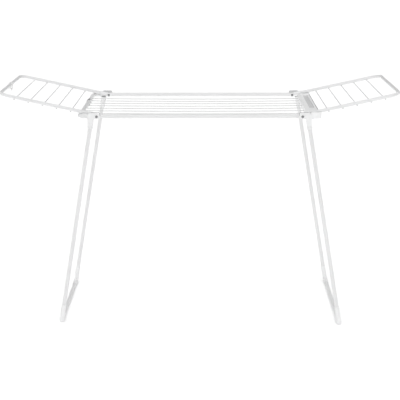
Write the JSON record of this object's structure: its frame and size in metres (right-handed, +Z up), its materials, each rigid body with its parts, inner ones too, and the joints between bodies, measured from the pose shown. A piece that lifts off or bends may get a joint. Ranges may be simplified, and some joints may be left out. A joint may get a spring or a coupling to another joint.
{
  "type": "clothes drying rack",
  "caption": "Freestanding winged clothes airer: a flat wire frame with two folding wings, two splayed folding leg frames and a latch hook.",
  "frame": {"origin": "on the floor under the middle of the main frame", "axes": "+X along the main wires towards the end with the tray, +Y towards the back, +Z up"},
  "size_m": [1.738, 0.5848, 1.0604],
  "materials": {
    "coated_steel": "white powder coat, satin",
    "moulded_plastic": "white moulded plastic, satin",
    "dark_plastic": "dark grey moulded plastic, satin",
    "pin_steel": "plain steel pin head"
  },
  "bodies": {
    "main_frame": {"main_rail_front": "coated_steel", "main_corner_front": "coated_steel", "main_rail_back": "coated_steel", "main_corner_back": "coated_steel", "main_end_tube": "coated_steel", "end_tray": "moulded_plastic", "foot_bar_catch": "dark_plastic", "main_wire_1": "coated_steel", "main_wire_2": "coated_steel", "main_wire_3": "coated_steel", "main_wire_4": "coated_steel", "main_wire_5": "coated_steel", "main_wire_6": "coated_steel", "main_wire_7": "coated_steel", "pin_left_front": "pin_steel", "pin_left_back": "pin_steel", "pin_right_front": "pin_steel", "pin_right_back": "pin_steel"},
    "left_wing": {"wing_rail_left_front": "coated_steel", "wing_corner_left_front": "coated_steel", "wing_hinge_left_front": "moulded_plastic", "wing_rail_left_back": "coated_steel", "wing_corner_left_back": "coated_steel", "wing_hinge_left_back": "moulded_plastic", "wing_end_bar_left": "coated_steel", "wing_wire_left_1": "coated_steel", "wing_wire_left_2": "coated_steel", "wing_wire_left_3": "coated_steel", "wing_wire_left_4": "coated_steel", "wing_wire_left_5": "coated_steel"},
    "right_wing": {"wing_rail_right_front": "coated_steel", "wing_corner_right_front": "coated_steel", "wing_hinge_right_front": "moulded_plastic", "wing_rail_right_back": "coated_steel", "wing_corner_right_back": "coated_steel", "wing_hinge_right_back": "moulded_plastic", "wing_end_bar_right": "coated_steel", "wing_wire_right_1": "coated_steel", "wing_wire_right_2": "coated_steel", "wing_wire_right_3": "coated_steel", "wing_wire_right_4": "coated_steel", "wing_wire_right_5": "coated_steel"},
    "left_leg_frame": {"leg_left_front": "coated_steel", "leg_bracket_left_front": "moulded_plastic", "foot_left_front": "moulded_plastic", "leg_left_back": "coated_steel", "leg_bracket_left_back": "moulded_plastic", "foot_left_back": "moulded_plastic", "foot_bar_left": "coated_steel"},
    "right_leg_frame": {"leg_right_front": "coated_steel", "leg_bracket_right_front": "moulded_plastic", "foot_right_front": "moulded_plastic", "leg_right_back": "coated_steel", "leg_bracket_right_back": "moulded_plastic", "foot_right_back": "moulded_plastic", "foot_bar_right": "coated_steel"},
    "latch_hook": {"latch_hook": "moulded_plastic"}
  },
  "joints": [
    {"name": "left_wing_fold", "type": "hinge", "parent": "main_frame", "child": "left_wing", "pos_m": [-0.4405, 0, 0.956], "axis": [0, 1, 0], "range_deg": [0, 165.8]},
    {"name": "right_wing_fold", "type": "hinge", "parent": "main_frame", "child": "right_wing", "pos_m": [0.4405, 0, 0.956], "axis": [0, -1, 0], "range_deg": [0, 165.8]},
    {"name": "left_leg_fold", "type": "hinge", "parent": "main_frame", "child": "left_leg_frame", "pos_m": [-0.4405, 0, 0.956], "axis": [0, -1, 0], "range_deg": [0, 99.3]},
    {"name": "right_leg_fold", "type": "hinge", "parent": "main_frame", "child": "right_leg_frame", "pos_m": [0.4405, 0, 0.956], "axis": [0, 1, 0], "range_deg": [0, 85.2]},
    {"name": "hook_swing", "type": "hinge", "parent": "left_wing", "child": "latch_hook", "pos_m": [-0.85757, 0, 1.0499], "axis": [0, 1, 0], "range_deg": [-35, 91.9]}
  ]
}
